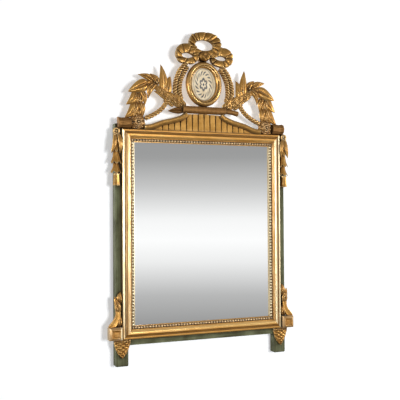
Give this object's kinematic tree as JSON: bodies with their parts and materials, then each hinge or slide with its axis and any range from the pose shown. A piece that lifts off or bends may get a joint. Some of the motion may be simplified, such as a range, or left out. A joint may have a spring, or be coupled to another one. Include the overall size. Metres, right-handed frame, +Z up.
{
  "type": "wall mirror",
  "caption": "Carved giltwood wall mirror: painted carcass, beaded moulding, fluted pediment, laurel branches, oval medallion and ribbon bow, hung from keyhole plates.",
  "frame": {"origin": "on the wall plane, midway between the two keyhole plates, at the height of their entry holes", "axes": "+X to the viewer's right, +Y back into the wall, +Z up"},
  "size_m": [0.673, 0.063, 1.1142],
  "materials": {
    "gilded_wood": "water gilding over brown bole, worn, satin",
    "painted_wood": "olive green paint, aged, matt",
    "bare_wood": "bare softwood",
    "silvered_glass": "silvered plate glass",
    "picture_glass": "clear",
    "print": "printed paper",
    "steel": "plain steel",
    "felt": "brown felt"
  },
  "bodies": {
    "mirror_frame": {"back_board": "bare_wood", "back_screws": "steel", "bottom_rail": "painted_wood", "bow_knot": "gilded_wood", "bow_loop_left": "gilded_wood", "bow_loop_right": "gilded_wood", "bow_loop_top": "gilded_wood", "branch_cord_left": "gilded_wood", "branch_cord_right": "gilded_wood", "console_left": "gilded_wood", "console_right": "gilded_wood", "corner_block_left": "gilded_wood", "corner_block_right": "gilded_wood", "corner_flower_left": "gilded_wood", "corner_flower_right": "gilded_wood", "corner_log_left": "gilded_wood", "corner_log_right": "gilded_wood", "crest_batten": "bare_wood", "crest_dowels": "bare_wood", "glazing_blocks": "bare_wood", "husk_drop_left": "gilded_wood", "husk_drop_right": "gilded_wood", "keyhole_plate_left": "steel", "keyhole_plate_right": "steel", "laurel_branch_left": "gilded_wood", "laurel_branch_right": "gilded_wood", "ledge": "gilded_wood", "ledge_leaf_left": "gilded_wood", "ledge_stalk_right": "gilded_wood", "medallion_core": "bare_wood", "medallion_frame": "gilded_wood", "medallion_glass": "picture_glass", "medallion_print": "print", "medallion_rope_inner_left": "gilded_wood", "medallion_rope_inner_right": "gilded_wood", "medallion_rope_outer_left": "gilded_wood", "medallion_rope_outer_right": "gilded_wood", "mirror_glass": "silvered_glass", "moulding_bottom": "gilded_wood", "moulding_left": "gilded_wood", "moulding_right": "gilded_wood", "moulding_top": "gilded_wood", "pearl_beading": "gilded_wood", "pediment_panel": "gilded_wood", "pendant_leaf_left": "gilded_wood", "pendant_leaf_right": "gilded_wood", "stile_left": "painted_wood", "stile_right": "painted_wood", "swept_moulding_left": "gilded_wood", "swept_moulding_right": "gilded_wood", "tenon_pegs": "bare_wood", "top_rail": "painted_wood", "wall_pads": "felt"},
    "turn_button_left_upper_body": {"turn_button_left_upper": "steel"},
    "turn_button_left_lower_body": {"turn_button_left_lower": "steel"},
    "turn_button_right_upper_body": {"turn_button_right_upper": "steel"},
    "turn_button_right_lower_body": {"turn_button_right_lower": "steel"},
    "turn_button_top_body": {"turn_button_top": "steel"},
    "turn_button_bottom_body": {"turn_button_bottom": "steel"}
  },
  "joints": [
    {"name": "turn_button_left_upper_turn", "type": "hinge", "parent": "mirror_frame", "child": "turn_button_left_upper_body", "pos_m": [-0.295, -0.0057, -0.115], "axis": [0, 1, 0], "continuous": true},
    {"name": "turn_button_left_lower_turn", "type": "hinge", "parent": "mirror_frame", "child": "turn_button_left_lower_body", "pos_m": [-0.295, -0.0057, -0.385], "axis": [0, 1, 0], "continuous": true},
    {"name": "turn_button_right_upper_turn", "type": "hinge", "parent": "mirror_frame", "child": "turn_button_right_upper_body", "pos_m": [0.295, -0.0057, -0.115], "axis": [0, 1, 0], "continuous": true},
    {"name": "turn_button_right_lower_turn", "type": "hinge", "parent": "mirror_frame", "child": "turn_button_right_lower_body", "pos_m": [0.295, -0.0057, -0.385], "axis": [0, 1, 0], "continuous": true},
    {"name": "turn_button_top_turn", "type": "hinge", "parent": "mirror_frame", "child": "turn_button_top_body", "pos_m": [0, -0.0057, 0.093], "axis": [0, 1, 0], "continuous": true},
    {"name": "turn_button_bottom_turn", "type": "hinge", "parent": "mirror_frame", "child": "turn_button_bottom_body", "pos_m": [0, -0.0057, -0.597], "axis": [0, 1, 0], "continuous": true}
  ]
}
